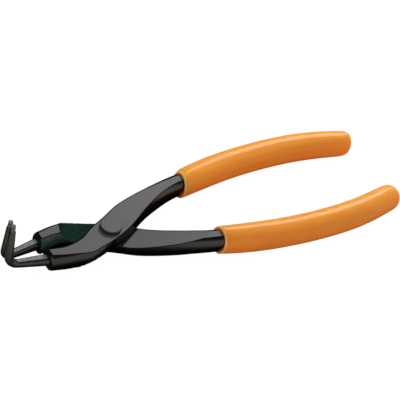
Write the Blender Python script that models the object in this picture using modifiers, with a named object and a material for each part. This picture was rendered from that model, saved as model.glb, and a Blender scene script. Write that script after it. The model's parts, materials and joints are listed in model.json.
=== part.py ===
"""Circlip pliers for retaining rings in a bore, with tips bent square to the handles.

Two identical forged levers cross at a riveted lap joint. The second lever is the first one turned
half a turn about X, so each lever's near jaw belongs to its far handle, and squeezing the handles
closes the tips. Each jaw ends in a square shoulder that holds a bent steel tip, and each handle's
tang wears a dipped PVC grip.

Lengths are in metres. X runs from the tips to the handles, Z is the pivot's axis and the bent tips
point along +Z. The origin is on the pivot's axis, in the rivet's back face.
"""

from collections import namedtuple
from math import atan2, cos, pi, radians, sin

import bmesh
import bpy
from mathutils import Matrix, Vector

# Main sizes along X, from the pivot's axis
JAW_LENGTH = 0.0270
HANDLE_LENGTH = 0.1223
BARE_HANDLE = 0.0392
TANG_END_COVER = 0.0223

# Lever path. A station is a distance along X from the pivot, the offset of the lever's middle
# from X there, the width of its ground flat, how far its sides bulge past the flat, and how much
# the outer side draws in towards the flat beside the recess.
Station = namedtuple("Station", "x middle flat bulge tuck")
JAW_END = Station(-JAW_LENGTH, -0.0044, 0.0035, 0.0021, 0.0)
JAW_NECK = Station(-0.0200, -0.00565, 0.0046, 0.0016, 0.0003)
JAW_BELLY = Station(-0.0130, -0.0051, 0.0070, 0.0013, 0.0008)
JOINT_FRONT = Station(-0.0070, -0.0028, 0.0102, 0.0009, 0.0004)
JOINT_MIDDLE = Station(0.0, 0.0001, 0.0116, 0.0005, 0.0)
JOINT_BACK = Station(0.0080, 0.0042, 0.0120, 0.0006, 0.0)
HANDLE_ROOT = Station(0.0200, 0.0101, 0.0079, 0.0011, 0.0)
HANDLE_NECK = Station(0.0300, 0.0138, 0.0048, 0.0018, 0.0)
GRIP_MOUTH = Station(BARE_HANDLE, 0.0160, 0.0036, 0.0022, 0.0)
GRIP_FRONT = Station(0.0600, 0.0197, 0.0034, 0.0021, 0.0)
GRIP_BELLY = Station(0.0800, 0.0211, 0.0032, 0.0018, 0.0)
TANG_END = Station(HANDLE_LENGTH - TANG_END_COVER, 0.0204, 0.0028, 0.0014, 0.0)
GRIP_END = Station(HANDLE_LENGTH, 0.0162, 0.0026, 0.0012, 0.0)
LEVER_PATH = (JAW_END, JAW_NECK, JAW_BELLY, JOINT_FRONT, JOINT_MIDDLE, JOINT_BACK, HANDLE_ROOT,
              HANDLE_NECK, GRIP_MOUTH, GRIP_FRONT, GRIP_BELLY, TANG_END, GRIP_END)
STATION_PITCH = 0.0018
SIDE_STEPS = 6
SIDE_EDGE_ANGLE = radians(22.0)

# Each jaw's end is a low crown round its tip.
END_CROWN = 0.0008
END_ROUND = 0.0010
END_STEPS = 4

# Lap joint: each lever keeps half of the joint's thickness there.
BLADE_THICKNESS = 0.0038
LAP_GAP = 0.0003
RECESS_FLOOR_RADIUS = 0.0124
RECESS_EDGE_RADIUS = 0.0189
RAMP_START = 0.0088
RAMP_SLOPE = 0.185
RAMP_HEADING = radians(58.0)
RAMP_SOFTNESS = 0.0025
RAMP_OVERLAP = 0.0002
TANG_TAPER = 0.78

# Pivot rivet
RIVET_SHANK_RADIUS = 0.0027
RIVET_HEAD_RADIUS = 0.0041
RIVET_HEAD_HEIGHT = 0.0012
RIVET_BACK_HEIGHT = 0.0010
RIVET_EDGE = 0.00025
RIVET_BORE_GAP = 0.0002
RIVET_SEAT_GAP = 0.0002

# Bent tip: a tapered rod with a flat ground along it, an elbow, a tapered upright and the round
# pin that enters the ring's eye. The flat lies at a share of the rod's radius above its middle.
TIP_ROOT_RADIUS = 0.0013
TIP_ROOT_LENGTH = 0.0062
TIP_ROOT_GAP = 0.0002
ROD_RADIUS = 0.00220
ROD_FLAT_SHARE = 0.86
ROD_LENGTH = 0.0150
ELBOW_X = -JAW_LENGTH - ROD_LENGTH
ELBOW_OFFSET = -0.0018
ELBOW_BEND_RADIUS = 0.0038
ELBOW_RADIUS = 0.0016
UPRIGHT_TOP_RADIUS = 0.00115
TIP_OFFSET = -0.00107
TIP_HEIGHT = 0.0185
PIN_RADIUS = 0.00088
PIN_LENGTH = 0.0024
PIN_SHOULDER = 0.0004
SHOULDER_RINGS = (1, 2)

# Grip sleeve, slightly fuller in its middle than at its mouth and its end. Both handles are
# dipped together, so the mouth is square to X, and the sections turn square to the grip after it.
GRIP_MOUTH_WIDTH = 0.0107
GRIP_WIDTH = 0.0114
GRIP_END_WIDTH = 0.0102
GRIP_FULL_FROM = 0.055
GRIP_MOUTH_TURN = 0.010
GRIP_END_TAPER = 0.030
GRIP_END_BLUNTNESS = 0.8
GRIP_SQUARENESS = 2.15
GRIP_LIP_RADIUS = 0.0004
GRIP_CAVITY_GAP = 0.0003
GRIP_PITCH = 0.0030
GRIP_SIDES = 28
GRIP_END_STEPS = 7

# How round pieces are divided
ROUND_STEPS = 48
TIP_SIDES = 16
CUT_MARGIN = 0.001

PIVOT_HEIGHT = RIVET_BACK_HEIGHT + RIVET_SEAT_GAP + BLADE_THICKNESS
FACE_X = JAW_END.x - END_CROWN


def clear_scene():
    for thing in list(bpy.data.objects):
        bpy.data.objects.remove(thing, do_unlink=True)


def collection(name):
    group = bpy.data.collections.new(name)
    bpy.context.scene.collection.children.link(group)
    return group


def material(name, colour, roughness, metallic):
    made = bpy.data.materials.new(name)
    made.use_nodes = True
    shader = made.node_tree.nodes["Principled BSDF"]
    shader.inputs["Base Color"].default_value = (*colour, 1.0)
    shader.inputs["Roughness"].default_value = roughness
    shader.inputs["Metallic"].default_value = metallic
    return made


def new_object(name, mesh, group):
    made = bpy.data.objects.new(name, mesh)
    group.objects.link(made)
    return made


def as_cutter(thing):
    thing.hide_render = True
    thing.display_type = "WIRE"
    return thing


def loft(name, rings, group):
    """A closed solid through rings of points, each ring with the same number of them."""
    shape = bmesh.new()
    rows = [[shape.verts.new(point) for point in ring] for ring in rings]
    for row, following in zip(rows, rows[1:]):
        for index in range(len(row)):
            after = (index + 1) % len(row)
            shape.faces.new((row[index], row[after], following[after], following[index]))
    shape.faces.new(reversed(rows[0]))
    shape.faces.new(rows[-1])
    bmesh.ops.recalc_face_normals(shape, faces=shape.faces)
    mesh = bpy.data.meshes.new(name)
    shape.to_mesh(mesh)
    shape.free()
    return new_object(name, mesh, group)


def turned(name, profile, group):
    """A solid turned about Z from a profile of radius and height that runs from top to bottom."""
    mesh = bpy.data.meshes.new(name)
    points = [(radius, 0.0, height) for radius, height in profile]
    mesh.from_pydata(points, [(index, index + 1) for index in range(len(points) - 1)], [])
    made = new_object(name, mesh, group)
    screw = made.modifiers.new("Turn", "SCREW")
    screw.axis = "Z"
    screw.steps = ROUND_STEPS
    screw.render_steps = ROUND_STEPS
    screw.use_merge_vertices = True
    screw.merge_threshold = 0.00001
    return made


def cylinder(name, radius, depth, matrix, group):
    """A cylinder from the matrix's origin along its Z."""
    shape = bmesh.new()
    bmesh.ops.create_cone(shape, cap_ends=True, segments=ROUND_STEPS, radius1=radius,
                          radius2=radius, depth=depth,
                          matrix=matrix @ Matrix.Translation((0.0, 0.0, depth / 2)))
    mesh = bpy.data.meshes.new(name)
    shape.to_mesh(mesh)
    shape.free()
    return new_object(name, mesh, group)


def cut(thing, cutter, operation="DIFFERENCE"):
    boolean = thing.modifiers.new(cutter.name, "BOOLEAN")
    boolean.operation = operation
    boolean.solver = "EXACT"
    boolean.object = cutter


def finished_mesh(thing):
    """The object's mesh with its modifiers applied. The working object is removed."""
    bpy.context.view_layer.update()
    evaluated = thing.evaluated_get(bpy.context.evaluated_depsgraph_get())
    mesh = bpy.data.meshes.new_from_object(evaluated)
    mesh.name = thing.name
    bpy.data.objects.remove(thing, do_unlink=True)
    return mesh


def along_path(x, quantity):
    """A station quantity at distance x, on a smooth curve through the stations."""
    places = [station.x for station in LEVER_PATH]
    values = [getattr(station, quantity) for station in LEVER_PATH]
    last = len(places) - 1
    low = max(index for index in range(last) if index == 0 or places[index] <= x)

    def slope(index):
        before = max(index - 1, 0)
        after = min(index + 1, last)
        return (values[after] - values[before]) / (places[after] - places[before])

    span = places[low + 1] - places[low]
    t = (x - places[low]) / span
    start_pull = span * slope(low)
    end_pull = span * slope(low + 1)
    return ((2 * t**3 - 3 * t**2 + 1) * values[low] + (t**3 - 2 * t**2 + t) * start_pull
            + (3 * t**2 - 2 * t**3) * values[low + 1] + (t**3 - t**2) * end_pull)


def half_thickness(x):
    """Half the lever's thickness: full up to the grip's mouth, then the tang tapers."""
    inside = max(0.0, x - GRIP_MOUTH.x) / (GRIP_END.x - GRIP_MOUTH.x)
    return BLADE_THICKNESS * (1.0 - (1.0 - TANG_TAPER) * inside)


def lever_ring(x, gap=0.0, shift=0.0):
    """The lever's section at x: flats above and below, and bulging forged sides.

    The gap widens it all round, and the shift moves it along X.
    """
    middle = along_path(x, "middle")
    half_flat = along_path(x, "flat") / 2 + gap
    bulge = along_path(x, "bulge")
    tuck = along_path(x, "tuck")
    thickness = half_thickness(x) + gap
    edge_rise = sin(SIDE_EDGE_ANGLE)
    ring = []
    for side in (1, -1):
        for step in range(SIDE_STEPS + 1):
            angle = SIDE_EDGE_ANGLE + (pi - 2 * SIDE_EDGE_ANGLE) * step / SIDE_STEPS
            height = side * cos(angle) / cos(SIDE_EDGE_ANGLE)
            reach = half_flat + bulge * (sin(angle) - edge_rise) / (1.0 - edge_rise)
            if side < 0:
                reach -= tuck * (1.0 - height) / 2
            ring.append((x + shift, middle + side * reach, height * thickness))
    return ring


def crown_rings():
    """The sections of the jaw's crowned end, from its face to where the full section starts."""
    edge_rise = sin(SIDE_EDGE_ANGLE)
    rings = []
    for step in range(END_STEPS):
        angle = pi / 2 + (SIDE_EDGE_ANGLE - pi / 2) * step / END_STEPS
        depth = END_CROWN * (sin(angle) - edge_rise) / (1.0 - edge_rise)
        inset = END_ROUND * (1.0 - cos(angle) / cos(SIDE_EDGE_ANGLE))
        rings.append(lever_ring(JAW_END.x, -inset, -depth))
    return rings


def evenly(start, end, pitch):
    steps = max(1, round(abs(end - start) / pitch))
    return [start + (end - start) * step / steps for step in range(steps + 1)]


def rod_matrix():
    """Where the straight rod leaves the jaw's face: its Z points along the rod to the elbow."""
    inside = Vector((JAW_END.x, JAW_END.middle, 0.0))
    along = (Vector((ELBOW_X, ELBOW_OFFSET, 0.0)) - inside).normalized()
    start = inside + along * (FACE_X - JAW_END.x) / along.x
    return Matrix.Translation(start) @ along.to_track_quat("Z", "Y").to_matrix().to_4x4()


def recess_cutter(group):
    """The lap recess, turned about the pivot, with a concave run-out up to the jaw."""
    run = RECESS_EDGE_RADIUS - RECESS_FLOOR_RADIUS
    run_out_radius = (run**2 + BLADE_THICKNESS**2) / (2 * BLADE_THICKNESS)
    floor = LAP_GAP / 2
    profile = [(0.0, floor), (RECESS_FLOOR_RADIUS, floor)]
    end_angle = atan2(run, run_out_radius - BLADE_THICKNESS)
    arc_steps = 10
    for step in range(1, arc_steps + 1):
        angle = end_angle * step / arc_steps
        drop = run_out_radius * (1.0 - cos(angle))
        profile.append((RECESS_FLOOR_RADIUS + run_out_radius * sin(angle), floor - drop))
    bottom = -BLADE_THICKNESS - CUT_MARGIN
    profile.append((profile[-1][0] + CUT_MARGIN / 2, bottom))
    profile.append((0.0, bottom))
    disc = as_cutter(turned("recess_cutter", profile, group))

    reach = 2 * RECESS_EDGE_RADIUS
    bpy.ops.mesh.primitive_cube_add(size=1.0)
    half_space = bpy.context.object
    half_space.name = "jaw_side"
    half_space.dimensions = (reach, 2 * reach, reach)
    away = Vector((cos(RAMP_HEADING), sin(RAMP_HEADING), 0.0))
    half_space.location = away * (RAMP_START - RAMP_SOFTNESS + RAMP_OVERLAP - reach / 2)
    half_space.rotation_euler = (0.0, 0.0, RAMP_HEADING)
    move_to(as_cutter(half_space), group)
    cut(disc, half_space, "INTERSECT")
    return disc


def ramp_cutter(group):
    """The ramp by which the handle's inner face grows from the lap plane to full thickness."""
    floor = LAP_GAP / 2
    bottom = -BLADE_THICKNESS - CUT_MARGIN
    ramp_end = RAMP_START + (floor - bottom) / RAMP_SLOPE
    crest = RAMP_START - RAMP_SOFTNESS
    outline = [(crest - CUT_MARGIN, bottom), (crest, floor),
               (RAMP_START, floor - RAMP_SLOPE * RAMP_SOFTNESS / 4),
               (RAMP_START + RAMP_SOFTNESS, floor - RAMP_SLOPE * RAMP_SOFTNESS),
               (ramp_end, bottom)]
    reach = RECESS_EDGE_RADIUS * 2
    across = Vector((-sin(RAMP_HEADING), cos(RAMP_HEADING), 0.0)) * reach
    away = Vector((cos(RAMP_HEADING), sin(RAMP_HEADING), 0.0))
    rings = []
    for side in (-1, 1):
        rings.append([side * across + away * distance + Vector((0.0, 0.0, height))
                      for distance, height in outline])
    return as_cutter(loft("ramp_cutter", rings, group))


def move_to(thing, group):
    for holder in list(thing.users_collection):
        holder.objects.unlink(thing)
    group.objects.link(thing)


def lever_mesh(group, cutters):
    """One forged lever, lying with its ground flat up and its lap recess below."""
    full = [lever_ring(x) for x in evenly(JAW_END.x, TANG_END.x, STATION_PITCH)]
    lever = loft("lever", crown_rings() + full, group)
    bore_start = Matrix.Translation((0.0, 0.0, -CUT_MARGIN))
    bore = cylinder("pivot_bore_cutter", RIVET_SHANK_RADIUS + RIVET_BORE_GAP,
                    BLADE_THICKNESS + 2 * CUT_MARGIN, bore_start, cutters)
    socket_start = rod_matrix() @ Matrix.Translation((0.0, 0.0, -TIP_ROOT_LENGTH - TIP_ROOT_GAP))
    socket = cylinder("tip_socket_cutter", TIP_ROOT_RADIUS + TIP_ROOT_GAP,
                      TIP_ROOT_LENGTH + CUT_MARGIN, socket_start, cutters)
    for cutter in (recess_cutter(cutters), ramp_cutter(cutters), as_cutter(bore),
                   as_cutter(socket)):
        cut(lever, cutter)
    return finished_mesh(lever)


def grip_frame(x):
    """The grip's middle at x and the direction of its path there."""
    step = GRIP_PITCH / 10
    ahead = along_path(x + step, "middle") - along_path(x - step, "middle")
    heading = atan2(ahead, 2 * step)
    return Vector((x, along_path(x, "middle"), 0.0)), heading


def grip_radius(x):
    """Half the grip's width at x: full in the middle, easing off towards both ends."""
    if x < GRIP_FULL_FROM:
        away = (GRIP_FULL_FROM - x) / (GRIP_FULL_FROM - GRIP_MOUTH.x)
        narrow = GRIP_MOUTH_WIDTH
    else:
        away = max(0.0, x - GRIP_END.x + GRIP_END_TAPER) / GRIP_END_TAPER
        narrow = GRIP_END_WIDTH
    return (GRIP_WIDTH + (narrow - GRIP_WIDTH) * away**2) / 2


def grip_ring(x, radius, shift=0.0):
    """The grip's rounded section, square to X at the mouth and to the grip's path further on."""
    middle, heading = grip_frame(x)
    near_mouth = max(0.0, 1.0 - (x - GRIP_MOUTH.x) / GRIP_MOUTH_TURN)
    turn = heading * (1.0 - near_mouth**2)
    across = Vector((-sin(turn), cos(turn), 0.0)) / cos(heading - turn)
    forward = Vector((cos(heading), sin(heading), 0.0))
    ring = []
    for step in range(GRIP_SIDES):
        angle = 2 * pi * step / GRIP_SIDES
        side = abs(cos(angle)) ** (2 / GRIP_SQUARENESS) * (1 if cos(angle) >= 0 else -1)
        rise = abs(sin(angle)) ** (2 / GRIP_SQUARENESS) * (1 if sin(angle) >= 0 else -1)
        ring.append(middle + forward * shift + across * side * radius
                    + Vector((0.0, 0.0, rise * radius)))
    return ring


def grip_mesh(group, cutters):
    """One dipped sleeve, with a rounded lip, a closed round end and a cavity for the tang."""
    rings = []
    for angle in (0.0, pi / 6, pi / 3):
        inset = GRIP_LIP_RADIUS * (1.0 - sin(angle))
        back = GRIP_LIP_RADIUS * (1.0 - cos(angle))
        rings.append(grip_ring(GRIP_MOUTH.x, grip_radius(GRIP_MOUTH.x) - inset, back))
    end_start = GRIP_END.x - GRIP_END_WIDTH / 2
    for x in evenly(GRIP_MOUTH.x + GRIP_LIP_RADIUS, end_start, GRIP_PITCH):
        rings.append(grip_ring(x, grip_radius(x)))
    end_radius = grip_radius(end_start)
    for step in range(1, GRIP_END_STEPS):
        angle = step * pi / 2 / GRIP_END_STEPS
        rings.append(grip_ring(end_start, end_radius * cos(angle) ** GRIP_END_BLUNTNESS,
                               GRIP_END_WIDTH / 2 * sin(angle)))
    sleeve = loft("grip", rings, group)
    cavity_end = TANG_END.x + GRIP_CAVITY_GAP
    places = evenly(GRIP_MOUTH.x - 2 * CUT_MARGIN, cavity_end, 2 * STATION_PITCH)
    cavity = loft("cavity_cutter", [lever_ring(x, GRIP_CAVITY_GAP) for x in places], cutters)
    cut(sleeve, as_cutter(cavity))
    return finished_mesh(sleeve)


def tip_path():
    """The bent tip's middle line, as points with the radius of the metal there."""
    frame = rod_matrix()
    root = frame @ Vector((0.0, 0.0, -TIP_ROOT_LENGTH))
    face = frame @ Vector((0.0, 0.0, 0.0))
    corner = Vector((ELBOW_X, ELBOW_OFFSET, 0.0))
    top = Vector((ELBOW_X, TIP_OFFSET, TIP_HEIGHT))
    along = (corner - face).normalized()
    upward = (top - corner).normalized()
    bend_start = corner - along * ELBOW_BEND_RADIUS
    bend_end = corner + upward * ELBOW_BEND_RADIUS
    path = [(root, TIP_ROOT_RADIUS), (face, TIP_ROOT_RADIUS), (face, ROD_RADIUS),
            (bend_start, ELBOW_RADIUS)]
    bend_steps = 8
    centre = bend_start + upward * ELBOW_BEND_RADIUS
    for step in range(1, bend_steps):
        angle = step * pi / 2 / bend_steps
        path.append((centre + (along * sin(angle) - upward * cos(angle)) * ELBOW_BEND_RADIUS,
                     ELBOW_RADIUS))
    pin_start = top - upward * PIN_LENGTH
    path.append((bend_end, ELBOW_RADIUS))
    path.append((pin_start - upward * PIN_SHOULDER, UPRIGHT_TOP_RADIUS))
    path.append((pin_start, PIN_RADIUS))
    path.append((top, PIN_RADIUS))
    return path


def tip_piece(name, upright_side, group):
    """A bent tip whose upright stands on the given side of the lever, with a flat ground on it."""
    path = tip_path()
    across = Vector((0.0, 1.0, 0.0))
    rings = []
    for index, (middle, radius) in enumerate(path):
        before = path[max(index - 1, 0)][0]
        after = path[min(index + 1, len(path) - 1)][0]
        forward = (after - before).normalized()
        side = (across - forward * across.dot(forward)).normalized()
        up = forward.cross(side)
        ring = []
        for step in range(TIP_SIDES):
            angle = 2 * pi * (step + 0.5) / TIP_SIDES
            point = middle + (side * cos(angle) + up * sin(angle)) * radius
            if middle.z == 0.0 and radius > TIP_ROOT_RADIUS:
                point.z = min(point.z, ROD_FLAT_SHARE * radius)
            if index in SHOULDER_RINGS:
                point += forward * (FACE_X - TIP_ROOT_GAP - point.x) / forward.x
            ring.append((point.x, point.y, point.z * upright_side))
        rings.append(ring)
    return loft(name, rings, group)


def rivet_piece(group):
    """The pivot rivet, with a flat head above the joint and a lower one closed beneath it."""
    seat = PIVOT_HEIGHT + BLADE_THICKNESS + RIVET_SEAT_GAP
    top = seat + RIVET_HEAD_HEIGHT
    rim = RIVET_HEAD_RADIUS - RIVET_EDGE
    profile = [(0.0, top), (rim, top), (RIVET_HEAD_RADIUS, top - RIVET_EDGE),
               (RIVET_HEAD_RADIUS, seat), (RIVET_SHANK_RADIUS, seat),
               (RIVET_SHANK_RADIUS, RIVET_BACK_HEIGHT), (RIVET_HEAD_RADIUS, RIVET_BACK_HEIGHT),
               (RIVET_HEAD_RADIUS, RIVET_EDGE), (rim, 0.0), (0.0, 0.0)]
    return turned("pivot_rivet", profile, group)


def arm_empty(name, turn, group):
    """The empty on the joint's axis that carries one arm of the pliers."""
    arm = bpy.data.objects.new(name, None)
    arm.location = (0.0, 0.0, PIVOT_HEIGHT)
    arm.rotation_euler = (turn, 0.0, 0.0)
    group.objects.link(arm)
    return arm


def finish(thing, arm, finish_material):
    thing.parent = arm
    thing.data.materials.clear()
    thing.data.materials.append(finish_material)
    thing.data.shade_smooth()
    thing.data.set_sharp_from_angle(angle=radians(30.0))


def main():
    clear_scene()
    pliers = collection("circlip_pliers")
    cutters = collection("cutters")
    steel = material("ground forged steel", (0.10, 0.10, 0.105), 0.45, 0.9)
    rivet_steel = material("rivet steel", (0.16, 0.16, 0.165), 0.4, 0.9)
    tip_steel = material("tip steel", (0.13, 0.13, 0.13), 0.4, 0.9)
    vinyl = material("orange PVC", (0.80, 0.38, 0.05), 0.3, 0.0)

    upper_arm = arm_empty("upper_arm", 0.0, pliers)
    lower_arm = arm_empty("lower_arm", pi, pliers)
    lever = lever_mesh(pliers, cutters)
    grip = grip_mesh(pliers, cutters)
    for arm, side, upright_side in ((upper_arm, "upper", 1), (lower_arm, "lower", -1)):
        finish(new_object(side + "_lever", lever, pliers), arm, steel)
        finish(new_object(side + "_grip", grip, pliers), arm, vinyl)
        finish(tip_piece(side + "_tip", upright_side, pliers), arm, tip_steel)
    finish(rivet_piece(pliers), None, rivet_steel)


main()
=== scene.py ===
"""Circlip pliers with bent tips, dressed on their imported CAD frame.

The levers, the tips and the rivet are worked up from the frame's own solids: their edges are
eased, and their faces get ground, forged, oiled or bare finishes. The grips are modelled here.
Lengths are in metres in the frame's axes: X runs from the tips to the handles, and Z is the
pivot's axis.
"""

import json
from math import cos, radians, sin, tan

import bpy
from bpy.props import FloatProperty, FloatVectorProperty, PointerProperty, StringProperty
from bpy.types import Operator, Panel, PropertyGroup
from mathutils import Matrix, Vector


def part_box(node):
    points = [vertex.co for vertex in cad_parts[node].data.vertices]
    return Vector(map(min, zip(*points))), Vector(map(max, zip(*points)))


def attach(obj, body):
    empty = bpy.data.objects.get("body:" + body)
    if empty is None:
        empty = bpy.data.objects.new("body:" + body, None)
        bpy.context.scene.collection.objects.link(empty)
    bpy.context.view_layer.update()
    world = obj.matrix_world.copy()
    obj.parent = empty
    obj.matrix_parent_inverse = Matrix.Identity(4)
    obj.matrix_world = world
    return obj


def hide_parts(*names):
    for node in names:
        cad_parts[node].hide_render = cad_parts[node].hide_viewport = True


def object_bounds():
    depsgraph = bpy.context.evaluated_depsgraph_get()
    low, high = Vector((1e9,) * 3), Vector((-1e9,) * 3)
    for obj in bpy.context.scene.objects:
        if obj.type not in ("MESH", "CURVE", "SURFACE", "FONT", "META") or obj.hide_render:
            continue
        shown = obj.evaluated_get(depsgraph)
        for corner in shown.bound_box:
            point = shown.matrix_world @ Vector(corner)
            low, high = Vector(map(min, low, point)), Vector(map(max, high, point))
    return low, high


bl_info = {
    "name": "Circlip pliers",
    "version": (1, 0, 0),
    "blender": (4, 5, 0),
    "location": "View3D > Sidebar > Pliers",
    "description": "Dresses the circlip pliers' frame with finished pieces and a studio",
    "category": "Object",
}

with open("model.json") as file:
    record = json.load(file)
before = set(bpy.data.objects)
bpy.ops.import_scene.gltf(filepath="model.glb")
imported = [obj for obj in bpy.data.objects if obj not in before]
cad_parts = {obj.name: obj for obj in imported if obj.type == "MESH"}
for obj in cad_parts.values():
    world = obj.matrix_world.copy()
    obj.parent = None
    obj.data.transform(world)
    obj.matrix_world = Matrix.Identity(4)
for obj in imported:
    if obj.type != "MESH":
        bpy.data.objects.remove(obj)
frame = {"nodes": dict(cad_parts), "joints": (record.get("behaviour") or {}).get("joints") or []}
CAD_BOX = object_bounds()

# The side of the pivot that each arm's handle is on. The lever's lap recess faces the other way.
HANDS = {"upper": 1, "lower": -1}
PIVOT = Vector(frame["joints"][0]["pos_m"])
HALF_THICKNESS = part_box("upper_lever")[1].z - PIVOT.z
# The floor is just under the grips, which reach lowest.
FLOOR_HEIGHT = CAD_BOX[0].z - 0.0001

# How the frame's triangles are merged into whole faces.
MERGE_DISTANCE, SAME_FACE_ANGLE = 0.00002, radians(0.4)
# How its faces and vertices are told apart. A face is level when its normal's Z is beyond LEVEL,
# and a flat's is beyond DEAD_LEVEL. A face lies in a plane when it is within NEAR_PLANE of it, and
# a vertex is at a station when it is within NEAR_STATION of it.
LEVEL, DEAD_LEVEL = 0.97, 0.9995
NEAR_PLANE, NEAR_STATION = 0.0002, 0.0003
# The least that a lever face's normal points along the jaw for its end, at the other jaw for its
# inner side, at the pivot for the recess's wall, and up for a rounded edge by the recess.
END_FACING, INNER_FACING, WALL_FACING, EDGE_FACING = 0.7, 0.3, 0.2, 0.2
# The most that an inner side's normal points at the handles, and that a normal in the recess points
# away from its open side.
INNER_TURN, RECESS_TURN = 0.35, 0.01
# An edge is sharp when its faces meet at more than this. Rounded edges are shaded up to the other.
SHARP_ANGLE, ROUNDED_ANGLE = radians(32.0), radians(40.0)

# Each handle's inner face is ground from RAMP_FROM on, along its ramp. The lap recess ends at
# RECESS_REACH from the pivot, and the jaw's sides start at JAW_FROM.
RAMP_HEADING = radians(58.0)
RAMP_FROM = 0.0066
RECESS_REACH = 0.0195
JAW_FROM = -0.0080
# Each jaw's outer side lies past OUTER_SIDE_Y. Its bulge has this middle and these half lengths.
OUTER_SIDE_Y = 0.0082
BULGE_X = -0.0118
BULGE_REACHES = (0.0054, 0.0034, 0.0020)
# The rounded edges beside the jaw's recess lie up to this X, past this Y and this far below the
# flat. Their faces are smaller than this, in square metres.
OILED_TO_X, OILED_FROM_Y, OILED_DEPTH = -0.004, 0.002, 0.0003
OILED_AREA = 0.0000005
# The bare handle's end in the frame, and how much further it goes here.
HANDLE_END, HANDLE_EXTRA = 0.0392, 0.0012

# A tip: the foot of its bare pin, its elbow, and the shoulder at its rod's root with the gap that
# the frame leaves between it and the jaw.
PIN_FOOT = CAD_BOX[1].z - 0.0025
ELBOW_X = -0.0405
SHOULDER_X, SHOULDER_GAP = -0.0280, 0.0002
# The width of the dark rim around a rod's flat, a painted dark line for the reflection in its edge,
# and of the rivet's rounded edges.
TIP_RIM, RIVET_EDGE = 0.00025, 0.00012

# The upper grip's middle line and half width: X, Y and heading in degrees, then the half width.
# The lower grip's are mirrored.
GRIP_PATH = ((0.0420, 0.01652, 11.2, 0.00540), (0.0460, 0.01732, 11.1, 0.00556),
             (0.0510, 0.01830, 10.3, 0.00567), (0.0580, 0.01943, 8.0, 0.00570),
             (0.0660, 0.02034, 5.2, 0.00570), (0.0740, 0.02090, 2.8, 0.00570),
             (0.0820, 0.02113, 0.6, 0.00570), (0.0900, 0.02108, -1.6, 0.00570),
             (0.0980, 0.02060, -5.5, 0.00568), (0.1050, 0.01968, -9.6, 0.00559),
             (0.1100, 0.01874, -11.4, 0.00549), (0.1140, 0.01790, -11.9, 0.00539),
             (0.1160, 0.01748, -11.9, 0.00533))
# Each grip's mouth: X, turn about Z and lean about Y. The mouths lean and turn, because the pliers
# hang askew from their bent tips as they are dipped.
MOUTHS = {"upper": (0.0392, radians(-4.5), radians(8.0)),
          "lower": (0.0385, radians(3.5), radians(9.5))}
MOUTH_Y = 0.01580
# The mouth's rings, which make its rolled lip: the way on from the mouth, and the half width.
MOUTH_RINGS = ((0.00030, 0.0034), (0.00008, 0.0043), (0.0, 0.0048), (0.00005, 0.00508),
               (0.00032, 0.00525), (0.0010, 0.00530))
# The blunt end's rings: the way on from the path's last point, and the share of the half width.
END_RINGS = ((0.0024, 0.985), (0.0038, 0.92), (0.0047, 0.76), (0.0051, 0.5), (0.0052, 0.25))
# The end leans back by this. Each ring has this many sides before the skin is smoothed.
END_LEAN = radians(9.0)
GRIP_SIDES = 24


def linear(hex_colour):
    """An sRGB hex colour as linear red, green, blue and alpha."""
    channels = [int(hex_colour[i:i + 2], 16) / 255 for i in (1, 3, 5)]
    return (*(c / 12.92 if c <= 0.04045 else ((c + 0.055) / 1.055) ** 2.4 for c in channels), 1.0)


def add_node(tree, kind, inputs=None, **settings):
    """A node with its settings and its inputs, which are sockets to link from, or values.

    An input goes by its name, or by its number where several have one name.
    """
    node = tree.nodes.new(kind)
    for name, value in settings.items():
        setattr(node, name, value)
    for key, value in (inputs or {}).items():
        if isinstance(value, bpy.types.NodeSocket):
            tree.links.new(value, node.inputs[key])
        else:
            node.inputs[key].default_value = value
    return node


def new_material(name):
    """A material with a Principled shader: the material, its node tree and the shader."""
    material = bpy.data.materials.new(name)
    material.use_nodes = True
    tree = material.node_tree
    tree.nodes.clear()
    shader = add_node(tree, "ShaderNodeBsdfPrincipled")
    add_node(tree, "ShaderNodeOutputMaterial", {"Surface": shader.outputs["BSDF"]})
    return material, tree, shader


def follow(tree, shader, pattern, colour_hex, contrast, strength, distance):
    """Gives the shader a colour and a relief that both follow the pattern."""
    base = linear(colour_hex)[:3]
    dark, light = ((*(min(1.0, c * (1.0 + way * contrast)) for c in base), 1.0) for way in (-1, 1))
    tone = add_node(tree, "ShaderNodeMix", {0: pattern, 6: dark, 7: light}, data_type="RGBA")
    relief = add_node(tree, "ShaderNodeBump",
                      {"Height": pattern, "Strength": strength, "Distance": distance})
    tree.links.new(tone.outputs[2], shader.inputs["Base Color"])
    tree.links.new(relief.outputs["Normal"], shader.inputs["Normal"])


def ground_steel(name, colour_hex, settings):
    """Belt-ground forged steel under a thin grey phosphate coat: dull and even, with fine pits and
    faint scratches along the tool."""
    material, tree, shader = new_material(name)
    place = add_node(tree, "ShaderNodeTexCoord").outputs["Object"]
    # The belt's scratches are about 0.05 mm apart, and 0.4 mm here so that they show.
    stretched = add_node(tree, "ShaderNodeMapping",
                         {"Vector": place, "Scale": (220.0, 2500.0, 2500.0)}).outputs["Vector"]
    scratches = add_node(tree, "ShaderNodeTexNoise",
                         {"Vector": stretched, "Scale": 1.0, "Detail": 3.0}).outputs["Fac"]
    # The coat's grains are about 0.05 mm, and 0.4 mm here.
    grains = add_node(tree, "ShaderNodeTexNoise",
                      {"Vector": place, "Scale": 2400.0, "Detail": 3.0}).outputs["Fac"]
    both = add_node(tree, "ShaderNodeMix", {"Factor": 0.5, "A": scratches, "B": grains})
    follow(tree, shader, both.outputs["Result"], colour_hex,
           contrast=0.5, strength=0.2, distance=0.00006)
    shader.inputs["Metallic"].default_value = settings.bareness
    shader.inputs["Roughness"].default_value = settings.ground_roughness
    return material


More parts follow.
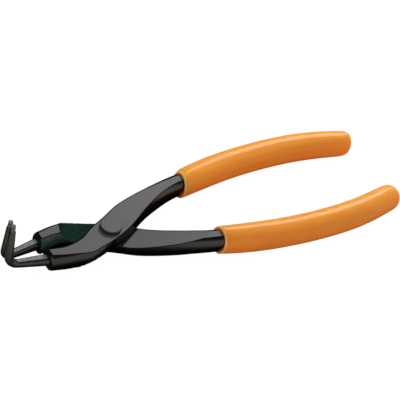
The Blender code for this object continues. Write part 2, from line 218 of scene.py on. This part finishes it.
def black_oxide_and_painted_light(name, colour_hex, roughness, gloss, ripple_size=0.0015):
    """Oiled black-oxide steel: near black and smooth, with the slight ripple of a forging."""
    # Besides the oxide, this also makes the painted sheen of the jaws' inner sides and the painted
    # dark rims of the flats.
    material, tree, shader = new_material(name)
    place = add_node(tree, "ShaderNodeTexCoord").outputs["Object"]
    # The ripple's waves are 1 to 1.5 mm long, as on a small forging.
    ripple = add_node(tree, "ShaderNodeTexNoise",
                      {"Vector": place, "Scale": 1.0 / ripple_size, "Detail": 2.0})
    follow(tree, shader, ripple.outputs["Fac"], colour_hex,
           contrast=0.8, strength=0.15, distance=0.0001)
    shader.inputs["Roughness"].default_value = roughness
    shader.inputs["Specular IOR Level"].default_value = gloss
    # The oil's film turns the sheen slightly olive.
    shader.inputs["Specular Tint"].default_value = (1.0, 0.98, 0.84, 1.0)
    return material


def bare_steel(name, colour_hex, roughness):
    """Bare spring steel, polished by the rings that it holds: pale, with faint wear."""
    material, tree, shader = new_material(name)
    place = add_node(tree, "ShaderNodeTexCoord").outputs["Object"]
    # The wear's spots are about 0.6 mm wide.
    wear = add_node(tree, "ShaderNodeTexNoise", {"Vector": place, "Scale": 1800.0, "Detail": 2.0})
    follow(tree, shader, wear.outputs["Fac"], colour_hex,
           contrast=0.5, strength=0.05, distance=0.00003)
    shader.inputs["Metallic"].default_value = 0.7
    shader.inputs["Roughness"].default_value = roughness
    return material


def dipped_vinyl(name, colour_hex, translucence, gloss, settings):
    """Dipped PVC: soft, slightly translucent, with a wide gloss and the faint runs that draining
    leaves along the handle."""
    material, tree, shader = new_material(name)
    place = add_node(tree, "ShaderNodeTexCoord").outputs["Object"]
    # The runs are about 4 mm apart and 40 mm long.
    along = add_node(tree, "ShaderNodeMapping",
                     {"Vector": place, "Scale": (25.0, 260.0, 260.0)}).outputs["Vector"]
    runs = add_node(tree, "ShaderNodeTexNoise", {"Vector": along, "Scale": 1.0, "Detail": 2.0})
    follow(tree, shader, runs.outputs["Fac"], colour_hex,
           contrast=0.15, strength=0.1, distance=0.0002)
    shader.inputs["Roughness"].default_value = settings.roughness
    shader.inputs["Specular IOR Level"].default_value = gloss
    shader.inputs["Subsurface Weight"].default_value = translucence
    # Red light goes furthest in the PVC, which reddens its shaded sides.
    shader.inputs["Subsurface Radius"].default_value = (1.0, 0.12, 0.05)
    shader.inputs["Subsurface Scale"].default_value = settings.depth
    return material


class LeverSettings(PropertyGroup):
    """The levers' finishes and the forms that they add to the frame's"""
    ground_hex: StringProperty(name="Ground flats", description="Colour of the ground flats",
                               default="#515053")
    ground_roughness: FloatProperty(name="Ground roughness", description="Roughness of the flats",
                                    default=0.6, min=0.0, max=1.0)
    bareness: FloatProperty(name="Bareness", description="How much bare metal the coat leaves",
                            default=0.2, min=0.0, max=1.0)
    forged_hex: StringProperty(name="Forged sides", description="Colour of the black-oxided sides",
                               default="#080B09")
    lap_hex: StringProperty(name="Lap faces", description="Colour of the oiled lap faces",
                            default="#102B25")
    # The inner sides' teal-grey is partly the oil's teal and partly a painted sheen for the light
    # that they reflect.
    inner_painted_sheen_hex: StringProperty(name="Inner sides", description="Colour of the jaws' inner sides",
                              default="#364744")
    # The rims are a painted dark line around each flat, standing for the dark reflection in its
    # edge.
    rim_painted_shade_hex: StringProperty(name="Rims", description="Colour of the rims around the flats",
                            default="#0B0C0B")
    edge: FloatProperty(name="Edge", description="Width of the rounded forged edges",
                        default=0.0004, unit="LENGTH", precision=5)
    rim: FloatProperty(name="Rim", description="Width of the black rim around each flat",
                       default=0.0004, unit="LENGTH", precision=5)
    fullness: FloatProperty(name="Fullness", description="How far each jaw bulges by its recess",
                            default=0.0007, unit="LENGTH", precision=5)


class GripSettings(PropertyGroup):
    """The grips' finish"""
    vinyl_hex: StringProperty(name="PVC", description="Colour of the dipped PVC",
                              default="#EAA141")
    # The lip's pale cream is a painted highlight along the mouth's rolled rim.
    lip_painted_highlight_hex: StringProperty(name="Lip", description="Colour of the thin lip", default="#FFCB7E")
    roughness: FloatProperty(name="Roughness", description="Roughness of the PVC", default=0.22,
                             min=0.0, max=1.0)
    gloss: FloatProperty(name="Gloss", description="Strength of the PVC's reflections",
                         default=0.1, min=0.0, max=1.0)
    translucence: FloatProperty(name="Translucence", default=1.0, min=0.0, max=1.0,
                                description="Share of the light that enters the PVC")
    depth: FloatProperty(name="Depth", description="How far light travels in the PVC",
                         default=0.007, unit="LENGTH", precision=4)


class TipSettings(PropertyGroup):
    """The tips' finishes"""
    steel_hex: StringProperty(name="Spring steel", description="Colour of the burnished tips",
                              default="#1C1C19")
    flat_hex: StringProperty(name="Rod flats", description="Colour of the rods' ground flats",
                             default="#7E7E82")
    pin_hex: StringProperty(name="Pins", description="Colour of the bare pins", default="#5C5D59")


class StudioSettings(PropertyGroup):
    """The camera's place and the light"""
    azimuth: FloatProperty(name="Azimuth", description="Camera's turn about Z", default=-40.884)
    elevation: FloatProperty(name="Elevation", description="Camera's height above the floor",
                             default=41.173)
    roll: FloatProperty(name="Roll", description="Camera's turn about its own axis",
                        default=-15.672)
    offset: FloatVectorProperty(name="Pivot in view", size=3, unit="LENGTH", precision=4,
                                description="How far right, down and ahead the pivot is",
                                default=(-0.033494, 0.012834, 0.583915))
    lens: FloatProperty(name="Lens", description="Focal length in millimetres", default=142.84)
    ambient: FloatProperty(name="Ambient", description="Strength of the surrounding soft light",
                           default=0.58, min=0.0)
    sweep: FloatProperty(name="Sweep", description="Brightness that gloss sees near the horizon",
                         default=1.0, min=0.0)
    ceiling: FloatProperty(name="Ceiling", description="Brightness that gloss sees elsewhere",
                           default=0.06, min=0.0)
    key_power: FloatProperty(name="Key", description="Power of the soft box in watts",
                             default=3.2, min=0.0)


def deselect():
    """Leaves no piece selected."""
    bpy.ops.object.select_all(action="DESELECT")


def work_on(piece):
    """Makes the piece the only selected one, and the active one."""
    deselect()
    piece.select_set(True)
    bpy.context.view_layer.objects.active = piece


def apply_all(piece):
    """Applies the piece's modifiers, in their order."""
    work_on(piece)
    for modifier in list(piece.modifiers):
        bpy.ops.object.modifier_apply(modifier=modifier.name)


def copy_of_node(node, name):
    """A new piece with the node's shape, its loose triangles merged into whole faces."""
    piece = bpy.data.objects.new(name, frame["nodes"][node].data.copy())
    piece.data.materials.clear()
    bpy.context.scene.collection.objects.link(piece)
    work_on(piece)
    bpy.ops.object.mode_set(mode="EDIT")
    bpy.ops.mesh.select_all(action="SELECT")
    bpy.ops.mesh.remove_doubles(threshold=MERGE_DISTANCE)
    bpy.ops.mesh.dissolve_limited(angle_limit=SAME_FACE_ANGLE)
    bpy.ops.object.mode_set(mode="OBJECT")
    return piece


def ease_edges(piece, width, finish):
    """Rounds the piece's sharp edges, with the rounding in the given material slot."""
    bevel = piece.modifiers.new("Eased edges", "BEVEL")
    bevel.width = width
    bevel.segments = 3
    bevel.limit_method = "ANGLE"
    bevel.angle_limit = SHARP_ANGLE
    bevel.harden_normals = True
    bevel.material = finish
    work_on(piece)
    bpy.ops.object.shade_smooth_by_angle(angle=ROUNDED_ANGLE)
    apply_all(piece)


def edit_part(piece, kind, wanted):
    """Selects the piece's vertices or polygons for which wanted is true, and starts to edit.

    kind is "vertices" or "polygons". Old selections of any kind are cleared first.
    """
    work_on(piece)
    mesh = piece.data
    bpy.context.tool_settings.mesh_select_mode = (kind == "vertices", False, kind == "polygons")
    for every in (mesh.vertices, mesh.edges, mesh.polygons):
        every.foreach_set("select", [False] * len(every))
    for each in getattr(mesh, kind):
        each.select = wanted(each)
    bpy.ops.object.mode_set(mode="EDIT")


def shift_vertices(piece, wanted, way):
    """Moves the piece's vertices for whose place wanted is true."""
    edit_part(piece, "vertices", lambda vertex: wanted(vertex.co))
    bpy.ops.transform.translate(value=way)
    bpy.ops.object.mode_set(mode="OBJECT")


def rim_faces(piece, flat, rim, width):
    """Insets the faces of one slot, and puts the rim that this leaves in another."""
    # The rim is a painted dark line along the flat's edge, in place of the dark reflection in that
    # edge.
    edit_part(piece, "polygons", lambda face: face.material_index == flat)
    bpy.ops.mesh.inset(thickness=width, use_even_offset=True)
    bpy.ops.object.mode_set(mode="OBJECT")
    for face in piece.data.polygons:
        if face.material_index == flat and not face.select:
            face.material_index = rim


# The levers' material slots. INNER holds a painted sheen, and RIM a painted dark line around the
# flats.
GROUND, FORGED, LAP, INNER, RIM = range(5)


class PLIERS_OT_levers(Operator):
    """Build both forged levers with their five finishes"""
    bl_idname = "pliers.levers"
    bl_label = "Levers"
    bl_options = {"REGISTER", "UNDO"}

    def finish_of(self, centre, normal, recess_up):
        """Which finish a face of a lever has, from its place and the way it faces.

        recess_up is 1 where the lever's lap recess faces up, and -1 where it faces down.
        """
        at_flats = abs(centre.z - PIVOT.z) > HALF_THICKNESS - NEAR_PLANE
        if at_flats and abs(normal.z) > DEAD_LEVEL:
            return GROUND
        if at_flats or normal.z * recess_up < -RECESS_TURN:
            return FORGED
        outward = Vector((centre.x - PIVOT.x, centre.y - PIVOT.y, 0.0))
        heading = Vector((cos(RAMP_HEADING), -recess_up * sin(RAMP_HEADING), 0.0))
        if normal.z * recess_up > LEVEL:
            return GROUND if outward.dot(heading) > RAMP_FROM else LAP
        on_jaw = centre.x < JAW_FROM
        if on_jaw and normal.x < -END_FACING:
            return LAP
        if on_jaw and normal.y * recess_up < -INNER_FACING and normal.x < INNER_TURN:
            return INNER
        facing_pivot = -normal.dot(outward) / outward.length
        return LAP if outward.length < RECESS_REACH and facing_pivot > WALL_FACING else FORGED

    def fill_out(self, lever, recess_up, fullness):
        """Bulges the jaw's outer side beside the recess, which the frame leaves a little flat.

        Each of three stretches, one inside the other, moves out by a third of the fullness.
        """
        for reach in BULGE_REACHES:
            shift_vertices(lever, lambda place: (abs(place.x - BULGE_X) < reach
                                                 and place.y * recess_up > OUTER_SIDE_Y),
                           (0.0, fullness / 3.0 * recess_up, 0.0))

    def oil_recess_edges(self, lever, recess_up):
        """Gives the rounded edges beside the jaw's recess the recess's own finish."""
        for face in lever.data.polygons:
            x, y, z = face.center - PIVOT
            beside = -RECESS_REACH < x < OILED_TO_X and y * recess_up > OILED_FROM_Y
            below_flat = z * recess_up < HALF_THICKNESS - OILED_DEPTH
            small = face.area < OILED_AREA
            up = face.normal.z * recess_up > EDGE_FACING
            if face.material_index == FORGED and small and beside and below_flat and up:
                face.material_index = LAP

    def lengthen_handle(self, lever):
        """Draws the bare handle further into its grip, whose turned mouth would show its end."""
        shift_vertices(lever, lambda place: abs(place.x - HANDLE_END) < NEAR_STATION,
                       (HANDLE_EXTRA, 0.0, 0.0))

    def execute(self, context):
        settings = context.scene.pliers_levers
        finishes = (ground_steel("ground steel, grey phosphate", settings.ground_hex, settings),
                    black_oxide_and_painted_light("black oxide, forged sides", settings.forged_hex,
                                roughness=0.2, gloss=0.5),
                    black_oxide_and_painted_light("black oxide, lap faces", settings.lap_hex,
                                roughness=0.7, gloss=0.03),
                    # The jaws' inner sides get a painted sheen: a lighter teal-grey that stands for
                    # the light they reflect.
                    black_oxide_and_painted_light("black oxide, jaws' inner sides", settings.inner_painted_sheen_hex,
                                roughness=0.5, gloss=0.2),
                    # The rims' near black is painted shade: a dark line for the reflection in the
                    # flats' edges.
                    black_oxide_and_painted_light("black oxide, rims of the flats", settings.rim_painted_shade_hex,
                                roughness=0.8, gloss=0.03))
        for side, hand in HANDS.items():
            recess_up = -hand
            lever = copy_of_node(side + "_lever", side + "_lever_forging")
            for finish in finishes:
                lever.data.materials.append(finish)
            for face in lever.data.polygons:
                face.material_index = self.finish_of(face.center, face.normal, recess_up)
            self.fill_out(lever, recess_up, settings.fullness)
            self.lengthen_handle(lever)
            ease_edges(lever, settings.edge, FORGED)
            self.oil_recess_edges(lever, recess_up)
            # Each flat gets a painted dark line around it, for the dark reflection in its edge.
            rim_faces(lever, GROUND, RIM, settings.rim)
            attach(lever, side + "_arm")
            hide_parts(side + "_lever")
        return {"FINISHED"}


# The grips' material slots; the lip's pale colour is a painted highlight. The lip is further out
# than its radius, and reaches this far inward.
VINYL, LIP = range(2)
LIP_RADIUS, LIP_DEPTH = 0.0047, 0.0004


class PLIERS_OT_grips(Operator):
    """Build both dipped grips"""
    bl_idname = "pliers.grips"
    bl_label = "Grips"
    bl_options = {"REGISTER", "UNDO"}

    def extrude_ring(self, here, there, growth, turn=0.0, lean=0.0):
        """Extrudes the selected ring to a new middle, and scales, turns and leans it there."""
        bpy.ops.mesh.extrude_region_move(TRANSFORM_OT_translate={"value": there - here})
        bpy.ops.transform.resize(value=(growth,) * 3, center_override=there)
        if lean:
            bpy.ops.transform.rotate(value=-lean, orient_axis="Y", center_override=there)
        if turn:
            bpy.ops.transform.rotate(value=-turn, orient_axis="Z", center_override=there)
        return there

    def sleeve(self, side, hand):
        """One sleeve: a round lip at the mouth, drawn out ring by ring to a blunt end.

        hand is 1 for the upper handle and -1 for the lower one.
        """
        deselect()
        mouth, mouth_turn, mouth_lean = MOUTHS[side]
        (onward, width), *rings = MOUTH_RINGS
        here = Vector((mouth + onward, MOUTH_Y * hand, PIVOT.z))
        bpy.ops.mesh.primitive_circle_add(vertices=GRIP_SIDES, radius=width, location=here,
                                          rotation=(0.0, radians(90.0), 0.0), fill_type="NGON")
        grip = bpy.context.object
        bpy.ops.object.transform_apply(location=True, rotation=True, scale=True)
        bpy.ops.object.mode_set(mode="EDIT")
        bpy.ops.mesh.select_all(action="SELECT")
        bpy.ops.transform.rotate(value=-mouth_lean, orient_axis="Y", center_override=here)
        bpy.ops.transform.rotate(value=-mouth_turn * hand, orient_axis="Z", center_override=here)
        for onward, half in rings:
            there = Vector((mouth + onward, MOUTH_Y * hand, PIVOT.z))
            here = self.extrude_ring(here, there, half / width)
            width = half
        lean, heading = -mouth_lean, mouth_turn
        for x, y, degrees, half in GRIP_PATH:
            there = Vector((x, y * hand, PIVOT.z))
            turn = (radians(degrees) - heading) * hand
            here = self.extrude_ring(here, there, half / width, turn, lean)
            lean, width, heading = 0.0, half, radians(degrees)
        last, forward = here, Vector((cos(heading), sin(heading) * hand, 0.0))
        lean, share = END_LEAN, 1.0
        for onward, part in END_RINGS:
            here = self.extrude_ring(here, last + forward * onward, part / share, lean=lean)
            lean, share = 0.0, part
        bpy.ops.mesh.select_all(action="SELECT")
        bpy.ops.mesh.normals_make_consistent(inside=False)
        bpy.ops.object.mode_set(mode="OBJECT")
        return grip

    def execute(self, context):
        settings = context.scene.pliers_grips
        finishes = (dipped_vinyl("dipped orange PVC", settings.vinyl_hex, settings.translucence,
                                 settings.gloss, settings),
                    # The thin lip's pale cream is a painted highlight.
                    dipped_vinyl("dipped orange PVC, thin lip", settings.lip_painted_highlight_hex,
                                 translucence=0.0, gloss=0.9, settings=settings))
        for side, hand in HANDS.items():
            grip = self.sleeve(side, hand)
            grip.name = side + "_grip_sleeve"
            for finish in finishes:
                grip.data.materials.append(finish)
            mouth, mouth_turn, mouth_lean = MOUTHS[side]
            middle = Vector((mouth, MOUTH_Y * hand, PIVOT.z))
            inward = Vector((1.0, tan(mouth_turn) * hand, -tan(mouth_lean))).normalized()
            for face in grip.data.polygons:
                way = face.center - middle
                on_lip = way.dot(inward) < LIP_DEPTH and way.length > LIP_RADIUS
                face.material_index = LIP if on_lip else VINYL
            smooth = grip.modifiers.new("Smooth skin", "SUBSURF")
            smooth.levels = smooth.render_levels = 2
            apply_all(grip)
            bpy.ops.object.shade_smooth()
            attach(grip, side + "_arm")
            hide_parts(side + "_grip")
        return {"FINISHED"}


# The tips' material slots.
BURNISHED, ROD_FLAT, PIN = range(3)


class PLIERS_OT_tips(Operator):
    """Build both bent tips"""
    bl_idname = "pliers.tips"
    bl_label = "Tips"
    bl_options = {"REGISTER", "UNDO"}

    def finish_of(self, centre, normal):
        """Which finish a face of a tip has, from its place and the way it faces."""
        if centre.z > PIN_FOOT:
            return PIN
        if normal.z > LEVEL and centre.x > ELBOW_X:
            return ROD_FLAT
        return BURNISHED

    def close_on_jaw(self, tip):
        """Moves the shoulder at the rod's root on to the jaw's face, across its CAD gap."""
        shift_vertices(tip, lambda place: abs(place.x - SHOULDER_X) < NEAR_STATION,
                       (SHOULDER_GAP, 0.0, 0.0))

    def execute(self, context):
        settings = context.scene.pliers_tips
        finishes = (black_oxide_and_painted_light("burnished spring steel", settings.steel_hex,
                                roughness=0.3, gloss=0.6, ripple_size=0.001),
                    black_oxide_and_painted_light("ground spring steel", settings.flat_hex,
                                roughness=0.7, gloss=0.3),
                    bare_steel("bare spring steel", settings.pin_hex, roughness=0.35))
        for side in HANDS:
            tip = copy_of_node(side + "_tip", side + "_bent_tip")
            for finish in finishes:
                tip.data.materials.append(finish)
            for face in tip.data.polygons:
                face.material_index = self.finish_of(face.center, face.normal)
            self.close_on_jaw(tip)
            # The rod flat's rim takes the burnished steel's near black: a painted dark line along
            # the flat's edge.
            rim_faces(tip, ROD_FLAT, BURNISHED, TIP_RIM)
            work_on(tip)
            bpy.ops.object.shade_smooth_by_angle(angle=SHARP_ANGLE)
            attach(tip, side + "_arm")
            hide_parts(side + "_tip")
        return {"FINISHED"}


# The rivet's material slots.
RIVET_FACE, RIVET_SIDE = range(2)


class PLIERS_OT_rivet(Operator):
    """Build the pivot rivet"""
    bl_idname = "pliers.rivet"
    bl_label = "Rivet"
    bl_options = {"REGISTER", "UNDO"}

    def execute(self, context):
        rivet = copy_of_node("pivot_rivet", "pivot_rivet_ground")
        for finish in ("ground steel, grey phosphate", "black oxide, lap faces"):
            rivet.data.materials.append(bpy.data.materials[finish])
        for face in rivet.data.polygons:
            level = abs(face.normal.z) > LEVEL
            face.material_index = RIVET_FACE if level else RIVET_SIDE
        ease_edges(rivet, RIVET_EDGE, RIVET_FACE)
        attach(rivet, "lower_arm")
        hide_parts("pivot_rivet")
        return {"FINISHED"}


# The pliers' middle, which the lamp is aimed at.
LAMP_AIM = Vector((0.03, 0.0, 0.005))


class PLIERS_OT_studio(Operator):
    """Build the floor, the lamp, the surroundings and the camera"""
    bl_idname = "pliers.studio"
    bl_label = "Studio"
    bl_options = {"REGISTER", "UNDO"}

    def floor_surface(self):
        """A pale floor that the camera and gloss see as white, with the pliers' soft shadow."""
        material, tree, shader = new_material("pale floor")
        # This colour shows only in the light that the floor throws back: warm, as on the
        # undersides of the photograph's grips.
        shader.inputs["Base Color"].default_value = linear("#F2A48E")
        shader.inputs["Roughness"].default_value = 0.9
        seen_by = add_node(tree, "ShaderNodeLightPath").outputs
        # The ambient occlusion paints the pliers' shadow on to the floor; no lamp casts it.
        openness = add_node(tree, "ShaderNodeAmbientOcclusion", {"Distance": 0.05}).outputs["AO"]
        # The camera sees white, with a painted shadow up to 3 % darker where the pliers shut the
        # floor in.
        camera_sees_with_painted_shadow = add_node(tree, "ShaderNodeMath", {0: openness, 1: 0.04, 2: 0.973},
                              operation="MULTIPLY_ADD").outputs["Value"]
        # Gloss sees white only away from the pliers and in front of them; near them a painted
        # shadow darkens the floor, and behind them the floor is dark.
        away = add_node(tree, "ShaderNodeMapRange",
                        {"Value": openness, "From Min": 0.90, "From Max": 0.985})
        place = add_node(tree, "ShaderNodeTexCoord").outputs["Object"]
        across = add_node(tree, "ShaderNodeSeparateXYZ", {"Vector": place}).outputs["Y"]
        in_front = add_node(tree, "ShaderNodeMapRange",
                            {"Value": across, "From Min": 0.03, "From Max": -0.03})
        gloss_sees_with_painted_shadow = add_node(tree, "ShaderNodeMath",
                             {0: away.outputs["Result"], 1: in_front.outputs["Result"]},
                             operation="MULTIPLY").outputs["Value"]
        white = add_node(tree, "ShaderNodeMix",
                         {"Factor": seen_by["Is Camera Ray"], "A": gloss_sees_with_painted_shadow, "B": camera_sees_with_painted_shadow})
        glow = add_node(tree, "ShaderNodeEmission", {"Strength": white.outputs["Result"]})
        seen = seen_by["Is Camera Ray"]
        for ray in ("Is Glossy Ray", "Is Transmission Ray"):
            seen = add_node(tree, "ShaderNodeMath", {0: seen, 1: seen_by[ray]},
                            operation="MAXIMUM").outputs["Value"]
        mix = add_node(tree, "ShaderNodeMixShader",
                       {0: seen, 1: shader.outputs["BSDF"], 2: glow.outputs["Emission"]})
        output = next(node for node in tree.nodes if node.type == "OUTPUT_MATERIAL")
        tree.links.new(mix.outputs["Shader"], output.inputs["Surface"])
        return material

    def surroundings(self, settings):
        """White for the camera, an even soft light, and for gloss a white sweep in front of the
        pliers below a dark ceiling."""
        world = bpy.data.worlds.new("studio")
        bpy.context.scene.world = world
        world.use_nodes = True
        tree = world.node_tree
        seen_by = add_node(tree, "ShaderNodeLightPath").outputs
        place = add_node(tree, "ShaderNodeTexCoord").outputs["Generated"]
        parts = add_node(tree, "ShaderNodeSeparateXYZ", {"Vector": place}).outputs
        # A direction's Z is the sine of its height, so the sweep ends 30 to 38 degrees up.
        low = add_node(tree, "ShaderNodeMapRange",
                       {"Value": parts["Z"], "From Min": 0.62, "From Max": 0.5})
        in_front = add_node(tree, "ShaderNodeMapRange",
                            {"Value": parts["Y"], "From Min": 0.05, "From Max": -0.25})
        sweep = add_node(tree, "ShaderNodeMath",
                         {0: low.outputs["Result"], 1: in_front.outputs["Result"]},
                         operation="MULTIPLY").outputs["Value"]
        sweep = add_node(tree, "ShaderNodeMath",
                         {0: sweep, 1: settings.sweep, 2: settings.ceiling},
                         operation="MULTIPLY_ADD").outputs["Value"]
        gloss = add_node(tree, "ShaderNodeMix",
                         {"Factor": seen_by["Is Glossy Ray"], "A": settings.ambient, "B": sweep})
        seen = add_node(tree, "ShaderNodeMix", {"Factor": seen_by["Is Camera Ray"],
                                                "A": gloss.outputs["Result"], "B": 1.0})
        around = tree.nodes["Background"]
        around.inputs["Color"].default_value = (1.0, 1.0, 1.0, 1.0)
        tree.links.new(seen.outputs["Result"], around.inputs["Strength"])

    def lamp(self, name, direction, distance, size, power, colour):
        """A square soft box, in the given direction from the pliers' middle."""
        lamp = bpy.data.lights.new(name, "AREA")
        lamp.shape = "SQUARE"
        lamp.size = size
        lamp.energy = power
        lamp.color = colour
        made = bpy.data.objects.new(name, lamp)
        made.location = LAMP_AIM + Vector(direction).normalized() * distance
        made.rotation_euler = (LAMP_AIM - made.location).to_track_quat("-Z", "Y").to_euler()
        bpy.context.scene.collection.objects.link(made)

    def camera(self, settings):
        """The photograph's camera, placed by the pivot's place in its view."""
        turn, rise, roll = (radians(degrees) for degrees in
                            (settings.azimuth, settings.elevation, settings.roll))
        back = Vector((sin(turn) * cos(rise), -cos(turn) * cos(rise), sin(rise)))
        level = Vector((cos(turn), sin(turn), 0.0))
        upright = back.cross(level)
        right = level * cos(roll) - upright * sin(roll)
        down = -(level * sin(roll) + upright * cos(roll))
        x, y, z = settings.offset
        camera = bpy.data.cameras.new("photograph camera")
        camera.lens = settings.lens
        camera.sensor_width = 36.0
        camera.clip_start = 0.01
        made = bpy.data.objects.new("photograph camera", camera)
        axes = Matrix((right, -down, back)).transposed()
        place = PIVOT - right * x - down * y + back * z
        made.matrix_world = Matrix.Translation(place) @ axes.to_4x4()
        bpy.context.scene.collection.objects.link(made)
        bpy.context.scene.camera = made

    def execute(self, context):
        settings = context.scene.pliers_studio
        deselect()
        bpy.ops.mesh.primitive_plane_add(size=6.0, location=(0.0, 0.0, FLOOR_HEIGHT))
        floor = context.object
        floor.name = "floor"
        floor.data.materials.append(self.floor_surface())
        self.surroundings(settings)
        self.lamp("key soft box", direction=(0.60, 0.55, 0.60), distance=0.7, size=0.28,
                  power=settings.key_power, colour=(1.0, 0.99, 0.97))
        self.camera(settings)
        context.scene.view_settings.view_transform = "Standard"
        return {"FINISHED"}


class PLIERS_PT_panel(Panel):
    """Lists the operators that build the pliers"""
    bl_label = "Circlip pliers"
    bl_idname = "PLIERS_PT_panel"
    bl_space_type = "VIEW_3D"
    bl_region_type = "UI"
    bl_category = "Pliers"

    def draw(self, context):
        for operator in BUILD_ORDER:
            self.layout.operator(operator.bl_idname)


BUILD_ORDER = (PLIERS_OT_levers, PLIERS_OT_grips, PLIERS_OT_tips, PLIERS_OT_rivet,
               PLIERS_OT_studio)
GROUPS = {"pliers_levers": LeverSettings, "pliers_grips": GripSettings,
          "pliers_tips": TipSettings, "pliers_studio": StudioSettings}


def register():
    for kind in (*GROUPS.values(), *BUILD_ORDER, PLIERS_PT_panel):
        bpy.utils.register_class(kind)
    for name, group in GROUPS.items():
        setattr(bpy.types.Scene, name, PointerProperty(type=group))


def unregister():
    for name in GROUPS:
        delattr(bpy.types.Scene, name)
    for kind in reversed((*GROUPS.values(), *BUILD_ORDER, PLIERS_PT_panel)):
        bpy.utils.unregister_class(kind)


def main():
    register()
    bpy.ops.pliers.levers()
    bpy.ops.pliers.grips()
    bpy.ops.pliers.tips()
    bpy.ops.pliers.rivet()
    bpy.ops.pliers.studio()


if __name__ == "__main__":
    main()
